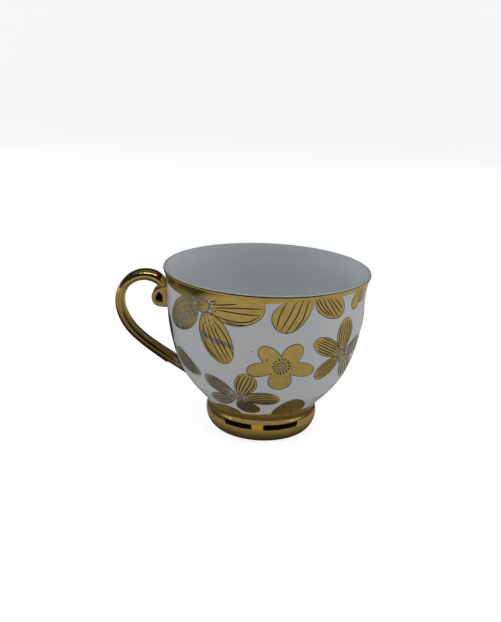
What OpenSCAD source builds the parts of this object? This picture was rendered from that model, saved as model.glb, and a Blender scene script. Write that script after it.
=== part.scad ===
// Footed porcelain teacup with a gilded foot, rim and volute handle and gold flower transfers.
// Millimetres, +Z up. The origin is on the cup's axis, in the plane the foot stands on.
// The handle lies along -X. Azimuths turn from the front (-Y) towards +X.

/* [Bowl] */
// Outside diameter of the rim
rim_d = 90; // [75:1:110]
// Height from the table to the crest of the lip
cup_h = 73.5; // [61:0.5:90]
// Outside diameter of the belly where the lip begins to turn out
belly_d = 86; // [72:1:105]
// Height at which the lip begins to turn out
belly_z = 55; // [45:0.5:60]
// Diameter of the bowl where it meets the foot
neck_d = 48; // [40:0.5:58]
// Wall thickness of the belly
wall_t = 2.6; // [2.1:0.1:3.2]
// Thickness of the rounded lip
lip_t = 1.8; // [1.4:0.1:2.2]
// Thickness of the bowl's floor above the foot
floor_t = 4.2; // [3.4:0.1:5.2]

/* [Foot] */
// Height from the table to the bowl's underside
foot_h = 12.6; // [10:0.1:15.5]
// Diameter of the foot's bead at its widest
bead_d = 49.5; // [48.5:0.5:60]
// Height of the bead's widest ring
bead_z = 8.2; // [6.5:0.1:9.5]
// Outside diameter of the flat ring that stands on the table
stand_d = 37.6; // [31:0.2:40]
// Width of the flat ring that stands on the table
stand_w = 1.8; // [1.4:0.1:2.4]
// Wall thickness of the foot at its top
foot_wall = 4; // [3.2:0.1:5]

/* [Handle] */
// Reach of the handle past the bowl's wall, at the height of its tight bend
handle_reach = 23.1; // [19:0.1:28]
// Distance from the lip's crest down to the top of the handle
handle_drop = 3.4; // [2.8:0.1:6]
// Radius of the handle's upper loop, to the middle of the strap
loop_r = 11.4; // [9.5:0.1:13.8]
// Radius of the handle's lower sweep, to the middle of the strap
sweep_r = 19.4; // [16:0.1:23.5]
// Height from the loop's centre down to the lower joint
grip_h = 28.8; // [24:0.1:34]
// Thickness of the strap, in the plane of the handle
strap_t = 4.7; // [3.9:0.1:5.7]
// Width of the strap, across the handle
strap_w = 7; // [5.8:0.1:8.4]
// Radius of the scroll under the upper joint
scroll_r = 3.7; // [3:0.1:4.5]
// Radius of the dished eye in each side of the scroll
eye_r = 1.8; // [1.4:0.1:2.2]
// Depth of each dished eye
eye_depth = 1.1; // [0.8:0.1:1.4]

/* [Decoration] */
// Thickness of the gold films
film_t = 0.12; // [0.08:0.01:0.2]
// Depth of the gilded band under the lip
rim_band = 2.4; // [2:0.1:2.9]
// Length of gilding that climbs from the foot on to the bowl
foot_band = 3.2; // [2.6:0.1:3.9]
// Thickness of the slip that joins handle and foot to the bowl
slip_t = 0.3; // [0.2:0.05:0.4]

/* [Hidden] */
$fn = 96;

porcelain = [0.93, 0.94, 0.95];
gold = [0.80, 0.64, 0.30];
slip = [0.88, 0.87, 0.84];

rim_r = rim_d / 2;
belly_r = belly_d / 2;
neck_r = neck_d / 2;
bead_r = bead_d / 2;
stand_r = stand_d / 2;
lip_r = lip_t / 2;

// Outside of the bowl: one curve from the neck to the belly and one from the belly to the lip
neck_rise = 55;      // slope of the bowl where it leaves the foot, degrees
belly_lean = 5.7;    // lean of the wall at the belly, degrees from upright
lip_lean = 26;       // lean of the wall at the lip, degrees from upright
neck_pull = 0.267;   // how far each end's direction carries, as a share of the curve's height
belly_pull = 0.722;
lip_start_pull = 0.11;
lip_pull = 0.26;
belly_steps = 18;
lip_steps = 8;
lip_arc_steps = 6;

function bezier(a, b, c, d, t) =
    pow(1 - t, 3) * a + 3 * pow(1 - t, 2) * t * b + 3 * (1 - t) * t * t * c + pow(t, 3) * d;
function polar(r, a) = [r * cos(a), r * sin(a)];

lip_centre = [rim_r - lip_r, cup_h - lip_r];
neck_point = [neck_r, foot_h];
belly_point = [belly_r, belly_z];
lip_point = lip_centre + polar(lip_r, -lip_lean);
belly_rise = belly_z - foot_h;
lip_rise = cup_h - belly_z;
belly_curve = [for (i = [0 : belly_steps]) bezier(
    neck_point,
    neck_point + polar(neck_pull * belly_rise, neck_rise),
    belly_point - polar(belly_pull * belly_rise, 90 - belly_lean),
    belly_point,
    i / belly_steps)];
lip_curve = [for (i = [1 : lip_steps]) bezier(
    belly_point,
    belly_point + polar(lip_start_pull * lip_rise, 90 - belly_lean),
    lip_point - polar(lip_pull * lip_rise, 90 - lip_lean),
    lip_point,
    i / lip_steps)];
wall = concat(belly_curve, lip_curve);
last = len(wall) - 1;

// Distance along the wall from the foot, and the wall's radius and height at any such distance
function run(i) = i == 0 ? 0 : run(i - 1) + norm(wall[i] - wall[i - 1]);
wall_run = [for (i = [0 : last]) run(i)];
wall_len = wall_run[last];
radius_table = [for (i = [0 : last]) [wall_run[i], wall[i][0]]];
height_table = [for (i = [0 : last]) [wall_run[i], wall[i][1]]];
level_table = [for (i = [0 : last]) [wall[i][1], wall[i][0]]];
function wall_r(s) = lookup(s, radius_table);
function wall_z(s) = lookup(s, height_table);
function wall_r_at_z(z) = lookup(z, level_table);

// Outline of the foot: a quarter ellipse up to the bead, then a smooth step in to the neck
foot_steps = 10;
step_count = 6;
function smooth(t) = t * t * (3 - 2 * t);
foot_outside = concat(
    [for (i = [0 : foot_steps]) [
        stand_r + (bead_r - stand_r) * sin(90 * i / foot_steps),
        bead_z * (1 - cos(90 * i / foot_steps))]],
    [for (i = [1 : step_count]) [
        bead_r + (neck_r - bead_r) * smooth(i / step_count),
        bead_z + (foot_h - bead_z) * i / step_count]]);

// Inside of the bowl: the wall set in by its thickness, with a rounded corner at the floor
floor_z = foot_h + floor_t;
floor_corner = 5;    // the first point of the wall that the inside follows
corner_length = 9;   // length of the rounded corner on the floor
corner_steps = 6;
function along(i) = wall[min(i + 1, last)] - wall[max(i - 1, 0)];
function outward(i) = [along(i)[1], -along(i)[0]] / norm(along(i));
function thickness(i) = wall_t + (lip_t - wall_t) * smooth(i / last);
inside = [for (i = [floor_corner : last - 1]) wall[i] - thickness(i) * outward(i)];
corner_point = [inside[0][0] - (inside[0][1] - floor_z) / tan(neck_rise), floor_z];
corner = [for (i = [0 : corner_steps]) bezier(
    corner_point - [corner_length, 0], corner_point, corner_point, inside[0], i / corner_steps)];

// Handle: places of its arcs in the XZ plane
loop_end = 62;       // where the loop tightens towards the wall, degrees
curl_r = 4.4;        // radius of that tighter bend
loop_z = cup_h - handle_drop - strap_t / 2 - loop_r;
bend_z = loop_z + (loop_r - curl_r) * sin(loop_end);
loop_centre = [-(wall_r_at_z(bend_z) + handle_reach - strap_t / 2 - loop_r), loop_z];
curl_centre = loop_centre + polar(loop_r - curl_r, loop_end);
sweep_centre = loop_centre + [sweep_r - loop_r, 0];
joint_z = loop_z - grip_h;
joint = [-wall_r_at_z(joint_z), joint_z];
to_joint = joint - sweep_centre;
sweep_end = 360 + atan2(to_joint[1], to_joint[0]) - acos(sweep_r / norm(to_joint));
strap_run = sqrt(pow(norm(to_joint), 2) - sweep_r * sweep_r);
strap_root = 10;     // how far the strap runs on past the wall before it is cut to the bowl
scroll_z = loop_z + 2;
scroll_bite = 0.6;   // how far the scroll runs into the wall before it is cut to the bowl
scroll_x = -(wall_r_at_z(scroll_z) + scroll_r - scroll_bite);
section_steps = 16;
section_power = 2.5;
curl_steps = 7;
loop_steps = 20;
sweep_steps = 10;

function power(v) = sign(v) * pow(abs(v), 2 / section_power);
strap_section = [for (i = [0 : section_steps - 1]) let (a = 360 * i / section_steps)
    [strap_t / 2 * power(cos(a)), strap_w / 2 * power(sin(a))]];

// Frames of the strap's path, each a point in the XZ plane and the angle its section faces: up the
// stem from the scroll, round the tight bend, the loop and the sweep, and straight into the wall
function bend(centre, r, from, to, steps) =
    [for (i = [1 : steps]) let (a = from + (to - from) * i / steps) [centre + polar(r, a), a]];
strap_path = concat(
    [[[curl_centre[0] + curl_r, scroll_z], 0], [curl_centre + [curl_r, 0], 0]],
    bend(curl_centre, curl_r, 0, loop_end, curl_steps),
    bend(loop_centre, loop_r, loop_end, 180, loop_steps),
    bend(sweep_centre, sweep_r, 180, sweep_end, sweep_steps),
    [[sweep_centre + polar(sweep_r, sweep_end) + polar(strap_run + strap_root, sweep_end + 90), sweep_end]]);
grip_run = lookup((scroll_z + joint_z) / 2, [for (i = [0 : last]) [wall[i][1], wall_run[i]]]);

// Flowers keep their share of the bowl when its size changes
print_scale = min(rim_d / 90, (cup_h - foot_h) / 60.9);
petal_steps = 20;

// Each flower: azimuth and share of the wall's length at its centre, radius of its disc, and its petals
// as [direction, distance to its base, distance to its tip, half of its width, swell towards its tip]
rim_left = [-36.4, 0.899, 3.5, [
    [6.7, 3.5, 27.2, 8.1, 0.03], [-65.5, 3.4, 25.9, 6.9, -0.02], [208.9, 3.4, 25.1, 6.9, -0.12],
    [155.5, 3.4, 19, 4.6, 0.1]]];
rim_front = [26.1, 1.008, 0, [[217.8, 2.4, 20.8, 6.3, 0.24], [-32.5, 0.2, 17.6, 5.4, -0.1]]];
rim_right = [60.4, 1, 0, [[246.8, 1.3, 9.8, 3.4, -0.06], [-52, 1.3, 8.4, 3.4, 0]]];
rim_back = [142, 1.01, 0, [[236, 1, 20, 6, 0.1], [-44, 1, 18, 5.4, 0.05]]];
rim_back_left = [214, 1.01, 0, [[228, 1, 18, 5, 0.1], [-52, 1, 20, 6, 0.1]]];
solid_front = [9.5, 0.546, 3.2, [
    [51.2, 1.5, 11.9, 3.8, -0.04], [137.8, 0.5, 12.3, 3.4, 0.02], [-13.4, 1, 14.7, 3.1, 0.13],
    [270, 0.5, 11.8, 4.5, 0.22], [191.9, 1.6, 14.1, 3, 0.15]]];
line_right = [50.1, 0.566, 1.5, [
    [90.6, 2.3, 16.5, 5, 0.06], [151.8, 2.2, 19.2, 3.7, 0.12], [214, 2.1, 15.3, 3.9, 0.12],
    [-49.2, 2.6, 17.2, 4.4, 0.04], [6.6, 2.5, 17.8, 3.7, 0.2]]];
line_low_left = [-16.7, 0.264, 1.7, [
    [66, 2.2, 14.7, 4.4, 0.2], [149.2, 2.4, 17.4, 3.6, 0], [205.4, 2.6, 15, 4.1, 0.25],
    [-69.8, 2.4, 13.5, 4.7, 0.1], [0.4, 3, 17.2, 4.1, 0.06]]];
line_left = [-71.3, 0.503, 1.6, [[-19.5, 3.4, 20.7, 4.6, -0.3], [105, 2.6, 15, 3.8, 0.1]]];
foot_left = [-36, 0.02, 0, [[14, -8, 7.3, 5.2, 0.1]]];
foot_right = [27, -0.03, 0, [[99.5, 0.2, 18.2, 7.2, -0.12]]];
foot_back = [120, -0.03, 0, [[104, 1, 18, 6.4, 0]]];
foot_back_left = [236, -0.03, 0, [[78, 1, 17, 6, 0]]];
line_side_right = [98, 0.65, 1.7, [
    [96, 3, 16.6, 4.6, 0.06], [164, 3, 15.2, 4, 0.1], [236, 3, 17, 4.3, 0.1], [-52, 3, 16, 4.3, 0.1],
    [24, 3, 16.6, 4.2, 0.1]]];
solid_back_right = [139, 0.44, 3.2, [
    [54, 1, 12.6, 3.8, 0.02], [126, 1, 11.8, 3.7, 0.02], [198, 1, 13.8, 3.3, 0.1], [270, 1, 11.6, 4.2, 0.2],
    [-18, 1, 14, 3.4, 0.1]]];
line_back = [180, 0.67, 2.6, [
    [100, 4, 15, 5, 0.06], [165, 4, 16.4, 5, 0.1], [232, 4, 17.5, 5.4, 0.1], [-58, 4, 18, 5.4, 0.1],
    [20, 4, 17, 5, 0.1]]];
solid_back_left = [221, 0.5, 3.2, [
    [70, 1, 12, 3.8, 0.02], [142, 1, 13, 3.7, 0.02], [214, 1, 13.6, 3.4, 0.1], [-74, 1, 12, 4.1, 0.2],
    [-2, 1, 12.6, 3.6, 0.1]]];
line_low_side = [186, 0.2, 1.7, [
    [90, 3, 13, 4.2, 0.1], [160, 3, 15, 3.8, 0.1], [14, 3, 16, 3.8, 0.1], [218, 3, 11, 3.8, 0.1],
    [-42, 3, 11, 3.8, 0.1]]];

// A petal's outline is an egg, swelled towards its tip, drawn flat and then wrapped on the wall
function petal_flat(p) = [for (i = [0 : petal_steps - 1]) let (a = 360 * i / petal_steps)
    [(p[1] + (p[2] - p[1]) * (1 + cos(a)) / 2) * print_scale,
     p[3] * sin(a) * (1 + p[4] * cos(a)) * print_scale]];
function disc_flat(r) = [for (i = [0 : petal_steps - 1]) polar(r * print_scale, 360 * i / petal_steps)];
function turned(pts, a) = [for (p = pts) [p[0] * cos(a) - p[1] * sin(a), p[0] * sin(a) + p[1] * cos(a)]];
// One flat point [right, up] about a flower's centre, seen square on from an azimuth
function wrapped(flower, view, p) =
    let (s = flower[1] * wall_len + p[1], azimuth = flower[0] + p[0] / wall_r(s) * 180 / PI)
    [wall_r(s) * sin(azimuth - view), s < 0 ? foot_h + s : s > wall_len ? cup_h + s - wall_len : wall_z(s)];

// A line of the wall between two distances along it, moved out by an amount
function wall_between(s0, s1, out) = concat(
    [[wall_r(s0) + out, wall_z(s0)]],
    [for (i = [0 : last]) if (wall_run[i] > s0 + 0.01 && wall_run[i] < s1 - 0.01) wall[i] + [out, 0]],
    [[wall_r(s1) + out, wall_z(s1)]]);
function reversed(list) = [for (i = [len(list) - 1 : -1 : 0]) list[i]];

module bowl_mass(grow) {
    rotate_extrude() polygon(concat([[0, foot_h]], wall + [for (p = wall) [grow, 0]], [[0, cup_h - lip_r]]));
}

module foot_mass(grow) {
    rotate_extrude() polygon(concat(
        [[0, 0]], foot_outside + [for (p = foot_outside) [grow, 0]], [[0, foot_h]]));
}

module bowl() {
    lip = [for (i = [1 : lip_arc_steps]) lip_centre + polar(lip_r, -lip_lean + 180 * i / lip_arc_steps)];
    color(porcelain) rotate_extrude() polygon(concat([[0, foot_h]], wall, lip, reversed(inside), reversed(corner),
        [[0, floor_z]]));
}

module foot() {
    top = foot_h - slip_t;
    under = [neck_r - foot_wall, top];
    heel = [stand_r - stand_w, 0];
    color(gold) difference() {
        rotate_extrude() polygon(concat([heel], foot_outside, [under]));
        translate([0, 0, top]) cylinder(r = 2 * neck_r, h = foot_h);
    }
}

module foot_luting() {
    color(slip) translate([0, 0, foot_h - slip_t]) difference() {
        cylinder(r = neck_r, h = slip_t);
        translate([0, 0, -slip_t]) cylinder(r = neck_r - foot_wall, h = 3 * slip_t);
    }
}

// The strap is one closed skin, with a ring of the section's points at each frame of its path
module strap() {
    rings = len(strap_path);
    points = [for (f = strap_path) for (p = strap_section)
        [f[0][0] + p[0] * cos(f[1]), p[1], f[0][1] + p[0] * sin(f[1])]];
    sides = [for (i = [0 : rings - 2]) for (j = [0 : section_steps - 1])
        let (k = (j + 1) % section_steps, a = i * section_steps, b = a + section_steps)
        [a + j, b + j, b + k, a + k]];
    ends = [[for (j = [0 : section_steps - 1]) j],
        [for (j = [section_steps - 1 : -1 : 0]) (rings - 1) * section_steps + j]];
    polyhedron(points, concat(sides, ends), convexity = 4);
}

module scroll() {
    translate([scroll_x, strap_w / 2, scroll_z]) rotate([90, 0, 0]) cylinder(r = scroll_r, h = strap_w);
}

module scroll_eyes() {
    for (side = [-1, 1]) translate([scroll_x, side * strap_w / 2, scroll_z]) rotate([90, 0, 0])
        cylinder(r = eye_r, h = 2 * eye_depth, center = true);
}

module handle() {
    color(gold) difference() {
        union() {
            strap();
            scroll();
        }
        bowl_mass(slip_t);
        foot_mass(slip_t);
        scroll_eyes();
    }
}

module handle_luting_upper() {
    color(slip) intersection() {
        union() {
            strap();
            scroll();
        }
        slip_shell(grip_run, wall_len - rim_band - film_t);
    }
}

module handle_luting_lower() {
    color(slip) intersection() {
        strap();
        slip_shell(foot_band + film_t, grip_run);
    }
}

// The skin of slip on the wall that the handle's ends are pressed into
module slip_shell(s0, s1) {
    rotate_extrude() polygon(concat(wall_between(s0, s1, 0), reversed(wall_between(s0, s1, slip_t))));
}

// Gold film on the wall between two distances along it
module wall_film(s0, s1) {
    rotate_extrude() polygon(concat(wall_between(s0, s1, 0), reversed(wall_between(s0, s1, film_t))));
}

module rim_gilding() {
    color(gold) wall_film(wall_len - rim_band, wall_len);
}

module foot_gilding() {
    clear = 3;       // points left bare beside the flat ring, so that the film never meets the table
    outline = concat([for (i = [clear : len(foot_outside) - 2]) foot_outside[i]], wall_between(0, foot_band, 0));
    color(gold) rotate_extrude() polygon(concat(outline, reversed(outline + [for (p = outline) [film_t, 0]])));
}

// A flower's discs and petals as prisms that cross the wall, cut from one film
module flower(f) {
    color(gold) intersection() {
        wall_film(foot_band, wall_len - rim_band);
        union() {
            if (f[2] > 0) flower_prism(f, f[0], disc_flat(f[2]));
            for (p = f[3]) let (middle = polar((p[1] + p[2]) / 2 * print_scale, p[0]),
                    view = f[0] + middle[0] / wall_r(f[1] * wall_len + middle[1]) * 180 / PI)
                flower_prism(f, view, turned(petal_flat(p), p[0]));
        }
    }
}

module flower_prism(f, view, pts) {
    near = 12;       // the prism's nearest distance from the axis, inside every wall it crosses
    rotate([0, 0, view - 90]) rotate([90, 0, 90]) translate([0, 0, near])
        linear_extrude(rim_d) polygon([for (p = pts) wrapped(f, view, p)]);
}

bowl();
foot();
handle();
foot_luting();
handle_luting_upper();
handle_luting_lower();
rim_gilding();
foot_gilding();
flower(rim_left);  // flower_rim_left
flower(rim_front);  // flower_rim_front
flower(rim_right);  // flower_rim_right
flower(rim_back);  // flower_rim_back
flower(rim_back_left);  // flower_rim_back_left
flower(solid_front);  // flower_solid_front
flower(line_right);  // flower_line_right
flower(line_low_left);  // flower_line_low_left
flower(line_left);  // flower_line_left
flower(foot_left);  // flower_foot_left
flower(foot_right);  // flower_foot_right
flower(foot_back);  // flower_foot_back
flower(foot_back_left);  // flower_foot_back_left
flower(line_side_right);  // flower_line_side_right
flower(solid_back_right);  // flower_solid_back_right
flower(line_back);  // flower_line_back
flower(solid_back_left);  // flower_solid_back_left
flower(line_low_side);  // flower_line_low_side
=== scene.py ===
import bpy
import numpy as np
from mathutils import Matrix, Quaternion, Vector


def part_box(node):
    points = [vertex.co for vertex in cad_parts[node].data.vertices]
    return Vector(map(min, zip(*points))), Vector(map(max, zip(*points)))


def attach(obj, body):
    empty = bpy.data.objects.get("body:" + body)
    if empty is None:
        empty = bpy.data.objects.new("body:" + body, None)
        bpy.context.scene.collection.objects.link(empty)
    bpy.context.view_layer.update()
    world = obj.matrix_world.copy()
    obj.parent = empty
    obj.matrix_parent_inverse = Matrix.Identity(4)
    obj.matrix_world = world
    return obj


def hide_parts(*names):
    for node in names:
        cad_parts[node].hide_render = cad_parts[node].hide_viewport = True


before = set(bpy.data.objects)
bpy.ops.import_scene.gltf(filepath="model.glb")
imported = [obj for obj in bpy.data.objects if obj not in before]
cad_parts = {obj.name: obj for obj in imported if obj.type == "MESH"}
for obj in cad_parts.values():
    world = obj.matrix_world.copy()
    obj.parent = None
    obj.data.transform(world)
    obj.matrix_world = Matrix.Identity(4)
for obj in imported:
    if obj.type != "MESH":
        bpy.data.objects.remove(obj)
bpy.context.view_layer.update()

# Footed teacup with gold transfer flowers. Lengths here are millimetres until a mesh is made.
# Azimuths turn from the front (-Y) towards +X, and the handle lies along -X.
metre = 0.001  # metres in a millimetre


def corners(node):
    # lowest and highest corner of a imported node, in millimetres
    low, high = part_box(node)
    return np.array(low) / metre, np.array(high) / metre


def polar(radius, degrees):
    # point at a radius and an angle, in a plane
    angle = np.radians(degrees)
    return np.stack([radius * np.cos(angle), radius * np.sin(angle)], -1)


def bezier(a, b, c, d, t):
    # cubic curve from a to d that leaves towards b and arrives from c
    t = np.asarray(t, float)[:, None]
    return (1 - t)**3 * a + 3 * (1 - t)**2 * t * b + 3 * (1 - t) * t**2 * c + t**3 * d


def smooth(t):
    # eases from 0 to 1 with level ends
    t = np.clip(t, 0, 1)
    return t * t * (3 - 2 * t)


def distances(points):
    # length along a line of points, from its first
    return np.r_[0, np.cumsum(np.linalg.norm(np.diff(points, axis=0), axis=1))]


def resample(points, count):
    # the same line with its points evenly spaced
    points = np.asarray(points, float)
    run = distances(points)
    where = np.linspace(0, run[-1], count)
    return np.stack([np.interp(where, run, column) for column in points.T], -1)


def curveThrough(points, count, shape=2):
    # cubic through the points that keeps each one's place and slope; the first columns set the spacing
    p = np.asarray(points, float)
    run = distances(p[:, :shape])
    slope = np.gradient(p, run, axis=0)
    where = np.linspace(0, run[-1], count)
    i = np.clip(np.searchsorted(run, where, side="right") - 1, 0, len(run) - 2)
    h = (run[i + 1] - run[i])[:, None]
    u = (where - run[i])[:, None] / h
    return ((2 * u**3 - 3 * u**2 + 1) * p[i] + (u**3 - 2 * u**2 + u) * h * slope[i]
            + (3 * u**2 - 2 * u**3) * p[i + 1] + (u**3 - u**2) * h * slope[i + 1])


def gridFaces(rows, columns, closedRows=False, closedColumns=True, first=0):
    # four-sided faces of a grid: across the rows first, then along the columns
    k = np.arange(rows if closedRows else rows - 1)[:, None]
    j = np.arange(columns if closedColumns else columns - 1)[None, :]
    k2, j2 = (k + 1) % rows, (j + 1) % columns
    quads = np.broadcast_arrays(k * columns + j, k2 * columns + j, k2 * columns + j2, k * columns + j2)
    return np.stack(quads, -1).reshape(-1, 4) + first


def fanFaces(row, columns, pole, outward, first=0):
    # three-sided faces between one closed row of a grid and a pole
    j = np.arange(columns)
    a, b = row * columns + j, row * columns + (j + 1) % columns
    fan = np.stack([a, b, np.full(columns, pole)] if outward else [b, a, np.full(columns, pole)], -1)
    return fan + first


def makeMesh(name, parts, slot=None, replaced=()):
    # one object from parts of [points, list of face arrays, material, uv or None]
    points, faces, which, materials, uvs = [], [], [], [], []
    count = 0
    for place, faceArrays, material, uv in parts:
        place = np.asarray(place, float).reshape(-1, 3)
        if material not in materials:
            materials.append(material)
        for array in faceArrays:
            faces += (array + count).tolist()
            which += [materials.index(material)] * len(array)
        points.append(place)
        uvs.append(np.zeros((len(place), 2)) if uv is None else np.asarray(uv, float).reshape(-1, 2))
        count += len(place)
    mesh = bpy.data.meshes.new(name)
    mesh.from_pydata((np.concatenate(points) * metre).tolist(), [], faces)
    for material in materials:
        mesh.materials.append(material)
    mesh.polygons.foreach_set("material_index", which)
    mesh.polygons.foreach_set("use_smooth", [True] * len(faces))
    loops = np.zeros(len(mesh.loops), np.int32)
    mesh.loops.foreach_get("vertex_index", loops)
    layer = mesh.uv_layers.new(name="surface")
    layer.data.foreach_set("uv", np.concatenate(uvs)[loops].astype(np.float32).ravel())
    mesh.update()
    piece = bpy.data.objects.new(name, mesh)
    bpy.context.scene.collection.objects.link(piece)
    if slot:
        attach(piece, "root")
    if replaced:
        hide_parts(*replaced)
    return piece


def newMaterial(name, **values):
    # material with a Principled shader, and its node tree
    material = bpy.data.materials.new(name)
    material.use_nodes = True
    tree = material.node_tree
    shader = tree.nodes["Principled BSDF"]
    for key, value in values.items():
        shader.inputs[key].default_value = value
    return material, tree, shader


def noise(tree, scale, detail=3.0, roughness=0.5, distortion=0.0):
    # noise on the piece's own coordinates
    texture = tree.nodes.new("ShaderNodeTexNoise")
    texture.inputs["Scale"].default_value = scale
    texture.inputs["Detail"].default_value = detail
    texture.inputs["Roughness"].default_value = roughness
    texture.inputs["Distortion"].default_value = distortion
    coordinates = tree.nodes.new("ShaderNodeTexCoord")
    tree.links.new(coordinates.outputs["Object"], texture.inputs["Vector"])
    return texture.outputs["Fac"]


def axesOf(tree, source="Object"):
    # the piece's own coordinates, one output for each axis
    coordinates, axes = tree.nodes.new("ShaderNodeTexCoord"), tree.nodes.new("ShaderNodeSeparateXYZ")
    tree.links.new(coordinates.outputs[source], axes.inputs[0])
    return axes.outputs


def remap(tree, value, fromLow, fromHigh, toLow=0, toHigh=1, kind="LINEAR"):
    # straight or eased map of a value from one range to another
    node = tree.nodes.new("ShaderNodeMapRange")
    node.interpolation_type = kind
    for key, number in (("From Min", fromLow), ("From Max", fromHigh), ("To Min", toLow), ("To Max", toHigh)):
        node.inputs[key].default_value = number
    tree.links.new(value, node.inputs["Value"])
    return node.outputs["Result"]


def spread(tree, texture, limits, result=(0, 1)):
    # noise between two limits, stretched over the result's range
    return remap(tree, noise(tree, *texture), *limits, *result)


def mixColours(tree, factor, first, second):
    # first colour where the factor is 0, second where it is 1
    node = tree.nodes.new("ShaderNodeMix")
    node.data_type = "RGBA"
    tree.links.new(factor, node.inputs[0])
    for socket, colour in ((node.inputs[6], first), (node.inputs[7], second)):
        if hasattr(colour, "node"):
            tree.links.new(colour, socket)
        else:
            socket.default_value = (*colour, 1)
    return node.outputs[2]


def calculate(tree, operation, first, second=0.0):
    # one step of arithmetic
    node = tree.nodes.new("ShaderNodeMath")
    node.operation = operation
    for socket, value in zip(node.inputs, (first, second)):
        if hasattr(value, "node"):
            tree.links.new(value, socket)
        else:
            socket.default_value = value
    return node.outputs[0]


def bump(tree, height, distance, strength, after=None):
    # surface relief from a height
    node = tree.nodes.new("ShaderNodeBump")
    node.inputs["Distance"].default_value = distance
    node.inputs["Strength"].default_value = strength
    tree.links.new(height, node.inputs["Height"])
    if after is not None:
        tree.links.new(after, node.inputs["Normal"])
    return node.outputs["Normal"]


def relief(tree, texture, distance, strength, after=None):
    # surface relief from noise
    return bump(tree, noise(tree, *texture), distance, strength, after)


finishes = dict(
    porcelain=(0.76, 0.79, 0.82), porcelainWarm=(0.80, 0.81, 0.81), biscuit=(0.66, 0.62, 0.55),
    # the brown here is painted shade, for the handle's lower end
    gold=(0.88, 0.63, 0.20), goldDeep=(0.80, 0.53, 0.13), paintedShadeBrown=(0.19, 0.115, 0.04), rubbed=(0.33, 0.29, 0.24),
    # hollow is painted shade: the scroll's recess coloured near black
    hollow=(0.035, 0.025, 0.012), transfer=(0.88, 0.64, 0.20), transferDull=(0.74, 0.52, 0.15),
    tarnish=(0.20, 0.19, 0.15), wornPale=(0.34, 0.34, 0.31), hatchAndSheenGold=(0.72, 0.60, 0.36),
    # the pale gold tints are partly painted reflection of bright surroundings, partly the pale of fine hatching
    hatchAndSheenGoldDull=(0.60, 0.52, 0.36), ink=(0.012, 0.014, 0.018), slate=(0.040, 0.044, 0.055),
    paleSlate=(0.20, 0.22, 0.24), paleSlateBlue=(0.25, 0.28, 0.31),
)
# noise is (scale, detail, roughness, distortion), then its limits and the result's range; relief is noise, depth
# in metres and strength; heights are in metres
glaze = dict(
    drift=[(38, 3), (0.35, 0.65)], polish=[(120, 4), (0.3, 0.7), (0.05, 0.12)], bareHeights=(0.0002, 0.0007),
    bareRough=0.7, ripple=[(55, 2), 0.0006, 0.12], pinPricks=[(2200, 2), 0.00003, 0.25],
)
lustre = dict(
    patches=[(150, 4, 0.6), (0.38, 0.66)], polish=[(420, 5, 0.65), (0.3, 0.72), (0.05, 0.15)],
    paintedShadeHeights=(0.036, 0.070), paintedShadeShares=(0.92, 0.12), rubbing=(170, 3, 0.5, 0.3), rubbedLimits=(0.66, 0.67),
    rubbedRough=0.12, ripple=[(260, 3, 0.55), 0.0005, 0.14], grain=[(1500, 3), 0.00004, 0.25],
)
screened = dict(
    patches=[(240, 5, 0.65), (0.36, 0.66)], grain=(2600, 3, 0.6), grainLimits=(0.3, 0.7), rough=(0.16, 0.32),
    wearing=(520, 6, 0.75, 0.4), wornLimits=(0.62, 0.72), wearShift=0.3, streakLimits=(0.62, 0.74),
    streakGain=(0.3, -0.05), tintLimits=(0.35, 0.65), wornRough=0.25, wornMetallic=0.25, relief=(0.00003, 0.1),
)
inked = dict(uneven=[(900, 4), (0.3, 0.7)], rough=(0.22, 0.4), metallic=0.1)


def makePorcelain():
    # white glaze with a faint drift of tint, slow ripples and pin-prick relief; the standing ring is unglazed
    g = glaze
    material, tree, shader = newMaterial("whiteGlaze", **{"IOR": 1.5, "Specular IOR Level": 0.5})
    colour = mixColours(tree, spread(tree, *g["drift"]), finishes["porcelain"], finishes["porcelainWarm"])
    bare = remap(tree, axesOf(tree)["Z"], *g["bareHeights"], 1, 0, "SMOOTHSTEP")
    bareRough = calculate(tree, "MULTIPLY", bare, g["bareRough"])
    rough = calculate(tree, "MAXIMUM", spread(tree, *g["polish"]), bareRough)
    tree.links.new(mixColours(tree, bare, colour, finishes["biscuit"]), shader.inputs["Base Color"])
    tree.links.new(rough, shader.inputs["Roughness"])
    tree.links.new(relief(tree, *g["pinPricks"], relief(tree, *g["ripple"])), shader.inputs["Normal"])
    return material


def makeBrightGold(name="brightGold", wear=0.0):
    # polished fired gold: slow brush ripples, finer grain, patches a little deeper in colour; the handle's,
    # with wear, also has painted shade that browns it towards its lower end, and rubbed grey spots
    g = lustre
    material, tree, shader = newMaterial(name, Metallic=1.0)
    colour = mixColours(tree, spread(tree, *g["patches"]), finishes["gold"], finishes["goldDeep"])
    rough = spread(tree, *g["polish"])
    if wear:
        # painted shade: the handle's gold turns brown towards its lower end
        paintedShade = remap(tree, axesOf(tree)["Z"], *g["paintedShadeHeights"], *g["paintedShadeShares"])
        rubbed = spread(tree, g["rubbing"], [limit - wear for limit in g["rubbedLimits"]])
        colour = mixColours(tree, paintedShade, colour, finishes["paintedShadeBrown"])
        colour = mixColours(tree, rubbed, colour, finishes["rubbed"])
        rough = calculate(tree, "ADD", rough, calculate(tree, "MULTIPLY", rubbed, g["rubbedRough"]))
    tree.links.new(colour, shader.inputs["Base Color"])
    tree.links.new(rough, shader.inputs["Roughness"])
    tree.links.new(relief(tree, *g["grain"], relief(tree, *g["ripple"])), shader.inputs["Normal"])
    return material


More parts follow.
